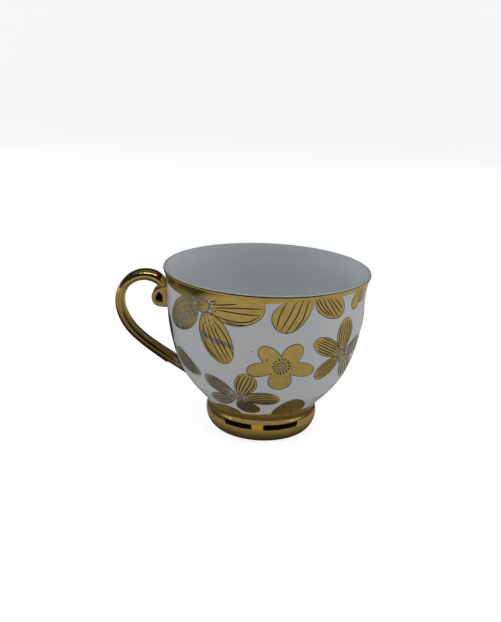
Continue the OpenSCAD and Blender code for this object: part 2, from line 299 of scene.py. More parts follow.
def makeTransferGold(name="transferGold", wear=0.0, streak=None, tints=("transfer", "transferDull"),
                     metallic=1.0):
    # screened gold: satin with a fine grain; wear thins it to grey in patches, a streak does so along a line
    # that leans across the petal's own surface, [middle, lean, width]
    g = screened
    material, tree, shader = newMaterial(name, Metallic=metallic)
    colour = mixColours(tree, spread(tree, *g["patches"]), *[finishes[tint] for tint in tints])
    grain = noise(tree, *g["grain"])
    rough = remap(tree, grain, *g["grainLimits"], *g["rough"])
    if wear or streak:
        worn, limits = noise(tree, *g["wearing"]), [limit - wear * g["wearShift"] for limit in g["wornLimits"]]
        if streak:
            axes = axesOf(tree, "UV")
            middle, slope, width = streak
            lean = calculate(tree, "MULTIPLY", axes["Y"], slope)
            off = calculate(tree, "SUBTRACT", calculate(tree, "SUBTRACT", axes["X"], middle), lean)
            near = remap(tree, calculate(tree, "ABSOLUTE", off), 0, width, *g["streakGain"], "SMOOTHSTEP")
            worn, limits = calculate(tree, "ADD", worn, near), g["streakLimits"]
        mask = remap(tree, worn, *limits)
        tint = mixColours(tree, remap(tree, grain, *g["tintLimits"]), finishes["tarnish"], finishes["wornPale"])
        colour = mixColours(tree, mask, colour, tint)
        rough = calculate(tree, "ADD", rough, calculate(tree, "MULTIPLY", mask, g["wornRough"]))
        tree.links.new(remap(tree, mask, 0, 1, metallic, g["wornMetallic"]), shader.inputs["Metallic"])
    tree.links.new(colour, shader.inputs["Base Color"])
    tree.links.new(rough, shader.inputs["Roughness"])
    tree.links.new(bump(tree, grain, *g["relief"]), shader.inputs["Normal"])
    return material


def makeInk(name, low, high):
    # fired print colour between two tints, slightly uneven
    material, tree, shader = newMaterial(name, **{"Metallic": inked["metallic"], "IOR": 1.5})
    uneven = spread(tree, *inked["uneven"])
    tree.links.new(mixColours(tree, uneven, finishes[low], finishes[high]), shader.inputs["Base Color"])
    tree.links.new(remap(tree, uneven, 0, 1, *inked["rough"]), shader.inputs["Roughness"])
    return material


porcelain = makePorcelain()
brightGold = makeBrightGold()
handleGold = makeBrightGold("handleGold", wear=0.04)
transferGold = makeTransferGold()
wornGold = makeTransferGold("wornGold", wear=0.52)
streakedGold = makeTransferGold("streakedGold", streak=(0.52, 0.24, 0.15))
# paler, less metallic gold: partly painted reflection of bright surroundings, partly the pale of fine hatching
hatchAndSheenGold = makeTransferGold("hatchAndSheenGold", tints=("hatchAndSheenGold", "hatchAndSheenGoldDull"), metallic=0.45)
slate = makeInk("slatePrint", "ink", "slate")
paleSlate = makeInk("paleSlate", "paleSlate", "paleSlateBlue")
# painted shade in the scroll's recess: a near-black, half-metal surface
hollowShade = newMaterial("hollowShade", **{"Base Color": (*finishes["hollow"], 1), "Metallic": 0.3,
                                            "Roughness": 0.5})[0]
print("materials made")

bowlLow, bowlHigh = corners("bowl")
footHigh = corners("foot")[1]
# the profiles of bowl and foot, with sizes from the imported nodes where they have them; rows are how many points
# each stretch of a profile has, turns how many each ring has
bowlShape = dict(
    rimR=bowlHigh[0], crestZ=bowlHigh[2], neckZ=bowlLow[2], neckR=24.0, bellyR=43.0, bellyZ=55.0,
    neckRise=55, bellyLean=5.7, lipLean=26, neckPull=0.267, bellyPull=0.722, lipStartPull=0.11, lipPull=0.26,
    wallThick=2.6, lipThick=1.8, floorThick=4.2, cornerFrom=12.0, cornerLength=9.0, turns=288,
    rows=dict(wall=112, lip=22, inside=96, corner=22, floor=8, under=10),
)
footShape = dict(
    beadR=footHigh[0], beadZ=8.2, standR=18.8, standWidth=1.8, topWall=4.0, fillet=1.5, ringRound=0.35,
    standRun=1.2, recessTop=(-0.4, -2.0), recessReach=2.6, recessRise=0.05, buriedIn=0.9, buriedRise=0.6,
    turns=240, rows=dict(outside=70, ring=6, heel=8, inside=14, recess=12),
)
# how finely the outside line is worked out before it is evenly spaced
fine = dict(wall=400, lip=60, ellipse=120, step=80, even=3200)


def outsideLine():
    # quarter ellipse up to the foot's bead, smooth step in to the neck, two cubics up the wall, then the lip's
    # half circle
    b, f = bowlShape, footShape
    lipR = b["lipThick"] / 2
    lipCentre = np.array([b["rimR"] - lipR, b["crestZ"] - lipR])
    neck, belly = np.array([b["neckR"], b["neckZ"]]), np.array([b["bellyR"], b["bellyZ"]])
    lip = lipCentre + polar(lipR, -b["lipLean"])
    rise, lipRise = b["bellyZ"] - b["neckZ"], b["crestZ"] - b["bellyZ"]
    t = np.linspace(0, 1, fine["wall"])
    lower = bezier(neck, neck + polar(b["neckPull"] * rise, b["neckRise"]),
                   belly - polar(b["bellyPull"] * rise, 90 - b["bellyLean"]), belly, t)
    upper = bezier(belly, belly + polar(b["lipStartPull"] * lipRise, 90 - b["bellyLean"]),
                   lip - polar(b["lipPull"] * lipRise, 90 - b["lipLean"]), lip, t)
    arc = lipCentre + polar(lipR, np.linspace(-b["lipLean"], 180 - b["lipLean"], fine["lip"]))
    quarter = np.pi / 2 * np.linspace(0, 1, fine["ellipse"])
    ellipse = np.stack([f["standR"] + (f["beadR"] - f["standR"]) * np.sin(quarter),
                        f["beadZ"] * (1 - np.cos(quarter))], -1)
    u = np.linspace(0, 1, fine["step"])
    step = np.stack([f["beadR"] + (b["neckR"] - f["beadR"]) * smooth(u),
                     f["beadZ"] + (b["neckZ"] - f["beadZ"]) * u], -1)
    foot = np.concatenate([ellipse, step[1:]])
    footRun = distances(foot)[-1]
    wall = np.concatenate([lower[1:], upper[1:]])
    wallLength = distances(np.concatenate([neck[None], wall]))[-1]
    line = np.concatenate([foot, wall, arc[1:]])
    run = distances(line) - footRun
    # a fillet softens the corner between foot and bowl
    even = np.linspace(run[0], run[-1], fine["even"])
    line = np.stack([np.interp(even, run, column) for column in line.T], -1)
    near = np.clip(even / f["fillet"], -1, 1)
    a, c = [np.array([np.interp(side * f["fillet"], even, column) for column in line.T]) for side in (-1, 1)]
    v = ((near + 1) / 2)[:, None]
    bent = (1 - v)**2 * a + 2 * (1 - v) * v * neck + v**2 * c
    line = np.where((np.abs(near) < 1)[:, None], bent, line)
    along = np.gradient(line, axis=0)
    along /= np.linalg.norm(along, axis=1)[:, None]
    return even, line, np.stack([along[:, 1], -along[:, 0]], -1), wallLength, footRun


skinRun, skinLine, skinOut, wallLength, footRun = outsideLine()


def skin(s):
    # radius, height and outward direction of the outside, at a distance along it from the neck
    return [np.interp(s, skinRun, column) for column in (*skinLine.T, *skinOut.T)]


def onSkin(azimuth, s, lift):
    # point on the outside, moved straight out by lift
    r, z, outR, outZ = skin(s)
    r, z = r + outR * lift, z + outZ * lift
    return np.stack(np.broadcast_arrays(r * np.sin(azimuth), -r * np.cos(azimuth), z), -1)


def revolve(line, turns):
    # every point of the line carried round the axis; ends on the axis become poles
    line = np.asarray(line, float)
    body = line[1:-1] if line[0, 0] == 0 else line
    azimuth = np.linspace(0, 2 * np.pi, turns, endpoint=False)
    points = np.stack([body[:, :1] * np.sin(azimuth), -body[:, :1] * np.cos(azimuth),
                       body[:, 1:] + 0 * azimuth], -1).reshape(-1, 3)
    if line[0, 0] != 0:
        return points, [gridFaces(len(body), turns, closedRows=True)[:, ::-1]]
    poles = [[0, 0, line[0, 1]], [0, 0, line[-1, 1]]]
    last = len(body) * turns
    faces = [gridFaces(len(body), turns)[:, ::-1], fanFaces(0, turns, last, False),
             fanFaces(len(body) - 1, turns, last + 1, True)]
    return np.concatenate([points, poles]), faces


def makeBowl():
    # underside, outside and lip, then the inside: the wall set in by a thickness that eases from wall to lip
    b, rows = bowlShape, bowlShape["rows"]
    s = np.linspace(0, wallLength, rows["wall"])
    lip = wallLength + np.linspace(0, skinRun[-1] - wallLength, rows["lip"])[1:]
    outside = np.stack(skin(np.r_[s, lip])[:2], -1)
    s = np.linspace(wallLength, b["cornerFrom"], rows["inside"])[1:]
    r, z, outR, outZ = skin(s)
    thick = b["wallThick"] + (b["lipThick"] - b["wallThick"]) * smooth(s / wallLength)
    inside = np.stack([r - outR * thick, z - outZ * thick], -1)
    floorZ = b["neckZ"] + b["floorThick"]
    bend = np.array([inside[-1, 0] - (inside[-1, 1] - floorZ) / np.tan(np.radians(b["neckRise"])), floorZ])
    t = np.linspace(0, 1, rows["corner"])
    corner = bezier(inside[-1], bend, bend, bend - [b["cornerLength"], 0], t)[1:]
    floor = np.linspace([corner[-1, 0], floorZ], [0, floorZ], rows["floor"])[1:]
    under = np.linspace([0, b["neckZ"]], [b["neckR"], b["neckZ"]], rows["under"])[:-1]
    points, faces = revolve(np.concatenate([under, outside, inside, corner, floor]), b["turns"])
    makeMesh("porcelainBowl", [[points, faces, porcelain, None]], slot="porcelain", replaced=["bowl"])


def makeFoot():
    # rounded standing ring, the outside line, and the recess with a soft corner under the bowl
    b, f, rows = bowlShape, footShape, footShape["rows"]
    soft = f["ringRound"]
    outside = np.stack(skin(np.linspace(-footRun + f["standRun"], 0, rows["outside"]))[:2], -1)
    inner, outer = np.array([f["standR"] - f["standWidth"], 0.0]), np.array([f["standR"], 0.0])
    ringIn = bezier(inner + [0, soft], inner, inner, inner + [soft, 0], np.linspace(0, 1, rows["ring"]))
    ringOut = bezier(outer - [soft, 0], outer, outer, outside[0], np.linspace(0, 1, rows["heel"]))[:-1]
    topIn = np.array([b["neckR"] - f["topWall"], b["neckZ"]])
    foot, head = inner + [0, soft], topIn + f["recessTop"]
    inside = head + np.linspace(0, 1, rows["inside"])[:, None] * (foot - head)
    recess = bezier(topIn + [-f["recessReach"], f["recessRise"]], topIn, topIn, head,
                    np.linspace(0, 1, rows["recess"]))[:-1]
    hidden = b["neckZ"] + f["buriedRise"]
    buried = np.array([[b["neckR"] - f["buriedIn"], hidden], [topIn[0] - f["recessReach"], hidden]])
    line = np.concatenate([ringIn, ringOut, outside, buried, recess, inside[:-1]])
    points, faces = revolve(line, f["turns"])
    makeMesh("porcelainFoot", [[points, faces, porcelain, None]], slot="porcelain",
             replaced=["foot", "foot_luting"])


makeBowl()
makeFoot()
print("bowl and foot made")

# the gold bands: heights and depths go round the turn as [degrees, millimetres] along the outside; a wobble is
# [seed, size]; a dark line of painted reflection lies on the upper edge of the rim's band
gilding = dict(
    lift=0.05, bury=0.15, inset=0.06, crest=0.95, footFrom=1.6, turns=288, rimRows=22, reflectionLineRows=4, footRows=64,
    rimLowerWobble=(4, 0.08), rimUpperWobble=(5, 0.04), footEdgeWobble=(6, 0.08), footLowerWobble=(7, 0.08),
    reflectionLineOver=0.08, reflectionLineRise=0.04,
    reflectionLineWidths=[[-180, 0.2], [-100, 0.25], [-60, 0.5], [10, 0.5], [60, 0.3], [180, 0.2]],
    rimDepths=[[-180, 2.2], [-120, 2.4], [-80, 4.0], [-56, 5.4], [-45, 5.1], [-27, 3.6], [-1, 2.3], [6, 1.9],
               [45, 1.4], [60, 1.0], [90, 1.5], [130, 2.1], [180, 2.2]],
    footHeights=[[-180, 3.4], [-150, 3.0], [-120, 3.8], [-90, 3.0], [-70, 2.4], [-61, 2.6], [-50, 4.2],
                 [-38, 4.4], [-27, 3.4], [-22, 2.6], [-19.5, 2.4], [-12, 2.5], [3.6, 3.6], [16, 3.4], [24, 4.2],
                 [43, 4.4], [52, 4.2], [62, 3.2], [80, 3.0], [100, 3.6], [130, 2.9], [160, 3.5], [180, 3.4]],
)


def bandFilm(lower, upper, rows):
    # closed film between two edges that may wander with the azimuth: its top, then back under the glaze
    turns = gilding["turns"]
    azimuth = np.linspace(0, 2 * np.pi, turns, endpoint=False)
    share = np.linspace(0, 1, rows)[:, None]
    low, high = lower(azimuth), upper(azimuth)
    s = low + (high - low) * share
    inset = gilding["inset"] * (1 - 2 * share) * (np.abs(share - 0.5) == 0.5)
    points = np.concatenate([onSkin(azimuth, s + inset, gilding["lift"]),
                             onSkin(azimuth, s, -gilding["bury"])[::-1]]).reshape(-1, 3)
    return points, [gridFaces(2 * rows, turns, closedRows=True)[:, ::-1]]


def wander(azimuth, seed, size, waves=9):
    # hand-drawn wobble: a few sines round the turn with seeded phases
    random = np.random.default_rng(seed)
    order = np.arange(2, 2 + waves)
    phase = random.uniform(0, 2 * np.pi, waves)
    return size * np.sum(np.sin(order * azimuth[..., None] + phase) / order, -1)


def around(azimuth, stops):
    # a value that changes round the turn, joined by straight lines, with no jump at the back
    degrees = (np.degrees(azimuth) + 180) % 360 - 180
    return np.interp(degrees, *np.array(stops, float).T)


def rimLower(azimuth):
    # the rim's gold is deeper on the left, by depth below the lip
    return wallLength - around(azimuth, gilding["rimDepths"]) + wander(azimuth, *gilding["rimLowerWobble"])


def rimUpper(azimuth):
    return wallLength + gilding["crest"] + wander(azimuth, *gilding["rimUpperWobble"])


def reflectionLineLower(azimuth):
    return rimUpper(azimuth) - around(azimuth, gilding["reflectionLineWidths"])


def reflectionLineUpper(azimuth):
    return rimUpper(azimuth) + gilding["reflectionLineOver"]


def footEdge(azimuth):
    # height that the foot's gold climbs on the bowl, with the painted hump on the left
    return around(azimuth, gilding["footHeights"]) + wander(azimuth, *gilding["footEdgeWobble"])


def footLower(azimuth):
    return -footRun + gilding["footFrom"] + wander(azimuth, *gilding["footLowerWobble"])


points, faces = bandFilm(rimLower, rimUpper, gilding["rimRows"])
makeMesh("rimGold", [[points, faces, brightGold, None]], slot="gold_lustre", replaced=["rim_gilding"])
# painted reflection: a dark slate line over the rim band's upper edge, where the lip's gold reflects dark
points, faces = bandFilm(reflectionLineLower, reflectionLineUpper, gilding["reflectionLineRows"])
makeMesh("rimPaintedReflection", [[points + [0, 0, gilding["reflectionLineRise"]], faces, slate, None]], slot="slip")
points, faces = bandFilm(footLower, footEdge, gilding["footRows"])
makeMesh("footGold", [[points, faces, brightGold, None]], slot="gold_lustre", replaced=["foot_gilding"])
print("gilding made")

# the strap's path in the XZ plane, from just outside the lower joint, over the loop and down into the scroll, as
# [x, z, thickness, width]; crown and soften are powers that flatten the section's faces and sides; sink is how
# deep the lower joint goes into the wall, looked for along reach in that many tries
strap = dict(
    path=[
        [-42.0, 30.1, 5.5, 6.9], [-47.8, 34.0, 5.1, 6.8], [-53.6, 38.3, 4.9, 6.8],
        [-58.9, 43.4, 4.9, 6.8], [-62.3, 48.8, 4.7, 6.8], [-63.9, 54.2, 4.4, 6.8], [-63.5, 59.6, 4.1, 6.8],
        [-61.4, 63.6, 4.2, 6.9], [-57.8, 66.6, 4.7, 7.0], [-53.0, 67.9, 5.0, 7.0], [-48.6, 67.0, 5.2, 7.0],
        [-45.4, 64.4, 4.4, 6.9], [-43.9, 61.4, 3.0, 6.7], [-43.6, 58.4, 2.2, 6.4]],
    rings=170, steps=28, crown=0.86, soften=0.94, easings=3, sink=1.3, reach=16, tries=640, jointRings=8,
)
# the scroll under the upper joint: its outline and its teardrop hollow as [x, z], both round the same middle;
# pit is [share of the hollow's width, share of the cone's depth] of the ring round the hollow's bottom
scroll = dict(
    middle=(-46.6, 58.5), half=3.45, edge=0.45, deep=2.5, cone=0.8, pit=(0.4, 0.6), mouth=1.06, mouthDepth=0.2,
    faceShares=(0.3, 0.7), edgeSteps=5, columns=96, hollowRows=3, fine=900,
    outline=[[-42.5, 58.5], [-42.6, 62.0], [-43.4, 64.0], [-45.4, 63.7], [-47.0, 62.7], [-48.6, 61.8],
             [-49.6, 60.2], [-49.9, 58.4], [-49.4, 56.4], [-48.1, 54.9], [-46.2, 54.25], [-44.0, 54.15],
             [-42.6, 54.3]],
    hollow=[[-45.05, 58.5], [-45.75, 59.7], [-46.65, 60.9], [-47.5, 59.7], [-48.1, 58.4], [-47.8, 57.3],
            [-46.6, 56.9], [-45.4, 57.3]],
)
aboveNeck = skinLine[:, 1] > bowlShape["neckZ"]
wallHeights, wallRadii = skinLine[aboveNeck & (skinRun < wallLength)].T[::-1]


def strapSection(thick, width):
    # rounded bar whose two faces are crowned and meet in a soft edge at each side
    angle = np.linspace(0, 2 * np.pi, strap["steps"], endpoint=False)
    c, s = np.cos(angle), np.sin(angle)
    return ((thick / 2)[:, None] * np.sign(c) * np.abs(c)**strap["crown"],
            (width / 2)[:, None] * np.sign(s) * np.abs(s)**strap["soften"])


def closedCurve(points):
    # smooth closed line through the points, evenly spaced by angle about the scroll's middle
    p = np.array(points)
    line = curveThrough(np.concatenate([p[-3:], p, p[:4]]), scroll["fine"]) - scroll["middle"]
    angle, far = np.arctan2(line[:, 1], line[:, 0]), np.linalg.norm(line, axis=1)
    order = np.argsort(angle)
    where = np.linspace(-np.pi, np.pi, scroll["columns"], endpoint=False)
    far = np.interp(where, angle[order], far[order], period=2 * np.pi)
    return np.array(scroll["middle"]) + polar(far, np.degrees(where))


def makeScroll():
    # rings from the bottom of one hollow, up its wall, across the face, over the soft edge and round to the
    # other side
    g = scroll
    middle, half, soft, columns = np.array(g["middle"]), g["half"], g["edge"], g["columns"]
    outline, hollow = closedCurve(g["outline"]), closedCurve(g["hollow"])
    far = np.linalg.norm(outline - middle, axis=1)[:, None]
    inset = middle + (outline - middle) * (1 - soft / far)
    pit, mouth = [middle + (hollow - middle) * share for share in (g["pit"][0], g["mouth"])]
    deep = half - g["deep"]
    front = [(pit, deep - g["cone"] * g["pit"][1]), (hollow, deep), (hollow, half - g["mouthDepth"])]
    front.append((mouth, half))
    front += [(mouth + (inset - mouth) * share, half) for share in g["faceShares"]]
    for turn in np.radians(np.linspace(0, 90, g["edgeSteps"])):
        front.append((inset + (outline - inset) * np.sin(turn), half - soft * (1 - np.cos(turn))))
    flat = np.array([line for line, _ in front + front[::-1]])
    depth = np.array([-y for _, y in front] + [y for _, y in front[::-1]])
    depth = np.broadcast_to(depth[:, None], flat.shape[:2])
    points = np.stack([flat[..., 0], depth, flat[..., 1]], -1).reshape(-1, 3)
    ends = np.array([[middle[0], side * (deep - g["cone"]), middle[1]] for side in (-1, 1)])
    rows = len(flat)
    faces = [gridFaces(rows, columns)[:, ::-1], fanFaces(0, columns, rows * columns, False),
             fanFaces(rows - 1, columns, rows * columns + 1, True)]
    first, last = g["hollowRows"] * columns, (rows - g["hollowRows"]) * columns
    # the hollow's faces take the near-black material, painted shade in the recess
    inHollow = (faces[0] < first).all(1) | (faces[0] >= last).all(1)
    points = np.concatenate([points, ends])
    return [[points, [faces[0][~inHollow]], handleGold, None],
            [points, [faces[0][inHollow], *faces[1:]], hollowShade, None]]


def makeHandle():
    # the section carried along the path, with the scroll at its upper end
    path = curveThrough(strap["path"], strap["rings"])
    along = np.gradient(path[:, :2], axis=0)
    for _ in range(strap["easings"]):
        along[1:-1] = (along[:-2] + 2 * along[1:-1] + along[2:]) / 4
    along /= np.linalg.norm(along, axis=1)[:, None]
    across = np.stack([along[:, 1], -along[:, 0]], -1)
    inPlane, outOfPlane = strapSection(path[:, 2], path[:, 3])
    x = path[:, :1] + across[:, :1] * inPlane
    z = path[:, 1:2] + across[:, 1:] * inPlane
    body = np.stack([x, outOfPlane, z], -1)
    # the first ring is carried straight on until each of its points is sunk in the wall
    onward = -np.array([along[0, 0], 0, along[0, 1]])
    travel = np.linspace(0, strap["reach"], strap["tries"])[:, None]
    ahead = body[0] + travel[..., None] * onward
    wall = np.interp(ahead[..., 2], wallHeights, wallRadii)
    sunk = np.hypot(ahead[..., 0], ahead[..., 1]) < wall - strap["sink"]
    root = body[0] + travel[sunk.argmax(0)] * onward
    joint = root + np.linspace(0, 1, strap["jointRings"] + 1)[:-1, None, None] * (body[0] - root)
    body = np.concatenate([joint, body])
    rings, steps = body.shape[:2]
    ends = np.array([root.mean(0), [path[-1, 0], 0, path[-1, 1]]])
    faces = [gridFaces(rings, steps), fanFaces(0, steps, rings * steps, True),
             fanFaces(rings - 1, steps, rings * steps + 1, False)]
    bar = [np.concatenate([body.reshape(-1, 3), ends]), faces, handleGold, None]
    makeMesh("goldHandle", [bar, *makeScroll()], slot="gold_lustre",
             replaced=["handle", "handle_luting_upper", "handle_luting_lower"])


makeHandle()
print("handle made")

# the prints' films and lines; rises are heights above the films, and overlaps run under the gold bands
prints = dict(
    lift=0.06, bury=0.12, lineLift=0.1, lineBury=0.05, outline=0.27, vein=0.5, columns=64, rows=14, seed=100,
    edgeGaps=(0.16, 0.04), leastReach=0.25, lineEnds=0.35, taperRate=5, filmOverlap=0.7, lineOverlap=0.05,
    veinOverlap=0.2, veinPoints=22, leastPoints=3, denseVein=0.75, denseFrom=6, middleShare=0.55,
    petalRise=0.004, ringRise=0.02, discRise=0.04, seedRise=0.07,
)
veinShape = dict(unevenness=0.03, start=0.06, startCurve=0.12, startWander=0.05, stop=0.95, stopCurve=0.16,
                 stopWander=0.06, fullness=0.8)
# the centres of the three kinds of flower: sides are those of ring, disc and seeds; stamens are
# [degrees, reach]; tips are [radius, rise, finish, sides]
centres = dict(
    solid=dict(
        discR=1.6, border=0.75, sides=(28, 24, 8), seeds=7, seedAt=1.05, seedStep=51.4, seedTurn=12, seedR=0.27,
        middleSeeds=[[0.1, 0]], rows=24, dashes=16, dashFrom=2.75, dashTo=3.95, dashWander=(3, 0.1, -0.3, 0.25),
        dashPoints=9, dashWidth=0.6),
    large=dict(
        border=0.75, sides=(40, 36, 10), seeds=7, seedAt=1.7, seedStep=51.4, seedWander=8, seedR=0.34,
        middleSeeds=[[0.5, 0.3], [-0.5, -0.2]], stemFrom=3.3, stemShort=0.3, stemPoints=6, stemWidth=0.3,
        stamens=[[14, 6.3], [-14, 6.3], [-62, 6.8], [-79, 7.5], [-38, 5.4], [-100, 6.2], [-128, 6.0], [150, 6.2],
                 [172, 7.0], [196, 6.6], [216, 6.4]],
        tips=[(0.48, 0, slate, 10), (0.26, 0.03, paleSlate, 8)]),
    line=dict(
        border=0.45, sides=(28, 28, 8), seeds=5, seedShare=0.6, seedStep=72, seedWander=8, seedR=0.27,
        middleSeeds=[[0, 0]], gapTurn=36, stemTurns=(-22, 22, -8, 8), stemFrom=0.3, stemLength=2.2,
        stemWander=(-0.4, 0.8), stemPoints=5, stemWidth=0.3),
)
# a firing speck at [azimuth, share of the wall's length], and a scratch by the middle of one solid flower
marks = dict(speckAt=(-6.9, 0.647), speckR=0.3, speckLift=0.04, scratchPoints=6, scratchWidth=0.5,
             scratch=[[-6.25, 2.5], [-5.95, 3.2], [-5.74, 3.7]])
# each flower: node, azimuth, share of the wall's length, disc radius, kind, petals as [direction, base, tip,
# half width, swell, number of veins, finish], where finish is 0 gold, 1 worn, 2 streaked, 3 pale: a paler, less
# metallic gold that is partly painted reflection
flowers = [
    ["flower_rim_left", -36.4, 0.899, 2.8, "large", [
        [6.7, 3.5, 27.2, 8.1, 0.03, 0, 0], [-65.5, 3.4, 25.9, 6.9, -0.02, 0, 2],
        [208.9, 3.4, 25.1, 6.9, -0.12, 5, 1], [155.5, 3.4, 19.0, 4.6, 0.1, 4, 1]]],
    ["flower_rim_front", 26.1, 1.008, 0, "petals", [
        [217.8, 2.4, 20.8, 6.3, 0.24, 0, 0], [-32.5, 0.2, 17.6, 5.4, -0.1, 0, 0]]],
    ["flower_rim_right", 60.4, 1.0, 0, "petals", [
        [246.8, 1.3, 9.8, 3.4, -0.06, 0, 0], [-52, 1.3, 8.4, 3.4, 0, 0, 0]]],
    ["flower_rim_back", 142, 1.01, 0, "petals", [[236, 1, 20, 6, 0.1, 5, 0], [-44, 1, 18, 5.4, 0.05, 5, 0]]],
    ["flower_rim_back_left", 214, 1.01, 0, "petals", [[228, 1, 18, 5, 0.1, 4, 0], [-52, 1, 20, 6, 0.1, 5, 0]]],
    ["flower_solid_front", 9.5, 0.546, 3.2, "solid", [
        [51.2, 1.5, 11.9, 3.8, -0.04], [137.8, 0.5, 12.3, 3.4, 0.02], [-13.4, 1, 14.7, 3.1, 0.13],
        [270, 0.5, 11.8, 4.5, 0.22], [191.9, 1.6, 14.1, 3, 0.15]]],
    ["flower_line_right", 50.1, 0.566, 1.5, "line", [
        [90.6, 2.3, 16.5, 5.0, 0.06, 6, 0], [151.8, 2.2, 19.2, 3.7, 0.12, 6, 0],
        [214, 2.1, 15.3, 3.9, 0.12, 5, 0], [-49.2, 2.6, 17.2, 4.4, 0.04, 5, 3], [6.6, 2.5, 17.8, 3.7, 0.2, 5, 3]]],
    ["flower_line_low_left", -16.7, 0.264, 1.7, "line", [
        [66, 2.2, 14.7, 4.4, 0.2, 5, 0], [149.2, 2.4, 17.4, 3.6, 0, 8, 3], [205.4, 2.6, 15, 4.1, 0.25, 7, 3],
        [-69.8, 2.4, 13.5, 4.7, 0.1, 6, 0], [0.4, 3, 17.2, 4.1, 0.06, 6, 0]]],
    ["flower_line_left", -71.3, 0.503, 1.6, "line", [
        [-19.5, 3.4, 20.7, 4.6, -0.3, 7, 3], [105, 2.6, 15, 3.8, 0.1, 4, 0]]],
    ["flower_foot_left", -36, 0.02, 0, "petals", [[14, -8, 7.3, 5.2, 0.1, 0, 0]]],
    ["flower_foot_right", 27, -0.03, 0, "petals", [[99.5, 0.2, 18.2, 7.2, -0.12, 0, 0]]],
    ["flower_foot_back", 120, -0.03, 0, "petals", [[104, 1, 18, 6.4, 0, 0, 0]]],
    ["flower_foot_back_left", 236, -0.03, 0, "petals", [[78, 1, 17, 6, 0, 0, 0]]],
    ["flower_line_side_right", 98, 0.65, 1.7, "line", [
        [96, 3, 16.6, 4.6, 0.06, 4, 0], [164, 3, 15.2, 4, 0.1, 5, 0], [236, 3, 17, 4.3, 0.1, 5, 0],
        [-52, 3, 16, 4.3, 0.1, 5, 0], [24, 3, 16.6, 4.2, 0.1, 5, 0]]],
    ["flower_solid_back_right", 139, 0.44, 3.2, "solid", [
        [54, 1, 12.6, 3.8, 0.02], [126, 1, 11.8, 3.7, 0.02], [198, 1, 13.8, 3.3, 0.1], [270, 1, 11.6, 4.2, 0.2],
        [-18, 1, 14, 3.4, 0.1]]],
    ["flower_line_back", 180, 0.67, 2.6, "line", [
        [100, 4, 15, 5, 0.06, 4, 0], [165, 4, 16.4, 5, 0.1, 5, 0], [232, 4, 17.5, 5.4, 0.1, 5, 0],
        [-58, 4, 18, 5.4, 0.1, 5, 0], [20, 4, 17, 5, 0.1, 5, 0]]],
    ["flower_solid_back_left", 221, 0.5, 3.2, "solid", [
        [70, 1, 12, 3.8, 0.02], [142, 1, 13, 3.7, 0.02], [214, 1, 13.6, 3.4, 0.1], [-74, 1, 12, 4.1, 0.2],
        [-2, 1, 12.6, 3.6, 0.1]]],
    ["flower_line_low_side", 186, 0.2, 1.7, "line", [
        [90, 3, 13, 4.2, 0.1, 4, 0], [160, 3, 15, 3.8, 0.1, 5, 0], [14, 3, 16, 3.8, 0.1, 5, 0],
        [218, 3, 11, 3.8, 0.1, 5, 0], [-42, 3, 11, 3.8, 0.1, 5, 0]]],
]
# veins drawn one by one on the large petals beside the rim, as [x, y] from their flower's centre
drawnVeins = dict(
    flower_rim_left=[
        [[4.1, 2.2], [6.8, 3.0]], [[5.2, 1.0], [10.3, 2.0], [15.8, 3.1]],
        [[4.9, -0.3], [12.8, 1.0], [26.3, 2.0]], [[6.6, -0.7], [12.7, -0.8], [18.9, -0.9], [25.0, -0.9]],
        [[6.5, -3.4], [11.0, -4.3], [16.0, -4.6], [20.9, -3.7], [25.0, -1.1]],
        [[10.5, -5.2], [15.2, -5.8], [19.3, -5.5]],
        [[0.2, -7.7], [0.7, -11.0], [2.0, -14.3]], [[0.4, -14.8], [3.1, -19.4], [7.6, -22.6]],
        [[2.0, -8.2], [5.3, -16.2], [9.3, -22.9]], [[3.2, -6.6], [8.1, -16.5], [11.2, -22.3]],
        [[5.1, -7.1], [9.9, -16.1], [12.4, -21.4]], [[5.1, -5.0], [10.6, -11.2], [14.0, -19.9]]],
    flower_rim_front=[
        [[-12.5, -1.9], [-14.7, -7.8], [-15.7, -13.3]], [[-8.5, -1.5], [-11.0, -8.3], [-14.1, -14.6]],
        [[-5.9, -1.2], [-8.1, -8.8], [-11.9, -15.3]], [[-3.4, -1.2], [-5.5, -10.2], [-9.1, -15.1]],
        [[-0.9, -1.4], [3.0, -6.4], [6.6, -9.2]], [[0.3, -0.9], [4.4, -6.1], [8.2, -9.9]],
        [[2.4, -1.1], [6.5, -6.8], [10.3, -10.9]], [[4.3, -1.1], [8.5, -6.3], [12.3, -10.9]],
        [[5.9, -1.4], [10.0, -5.7], [13.4, -9.3]], [[8.6, -2.0], [11.5, -4.6], [14.2, -7.8]]],
)


def turned(points, degrees):
    # points turned about the flower's centre
    c, s = np.cos(np.radians(degrees)), np.sin(np.radians(degrees))
    return np.stack([points[..., 0] * c - points[..., 1] * s, points[..., 0] * s + points[..., 1] * c], -1)


def petalLine(petal, count):
    # an egg: x runs from base to tip as a cosine, y is the half width times the sine, swelled towards the tip
    direction, base, tip, half, swell = petal[:5]
    a = np.linspace(0, 2 * np.pi, count, endpoint=False)
    flat = np.stack([base + (tip - base) * (1 + np.cos(a)) / 2, half * np.sin(a) * (1 + swell * np.cos(a))], -1)
    return turned(flat, direction)


def kept(points, place, overlap):
    # a line held between the two gildings, running a little way under them, with a mask of what lies between
    s = place[1] + points[..., 1]
    azimuth = place[0] + points[..., 0] / skin(np.clip(s, 1, wallLength))[0]
    low, high = footEdge(azimuth) - overlap, rimLower(azimuth) + overlap
    held = points.copy()
    held[..., 1] = np.clip(s, low, high) - place[1]
    return held, (s > low) & (s < high)


def wrapped(place, points, lift):
    # flat points about a flower's centre, wrapped on the wall at their own radius
    azimuth, centre = place
    s = centre + points[..., 1]
    r = skin(s)[0]
    return onSkin(azimuth + points[..., 0] / r, s, lift)


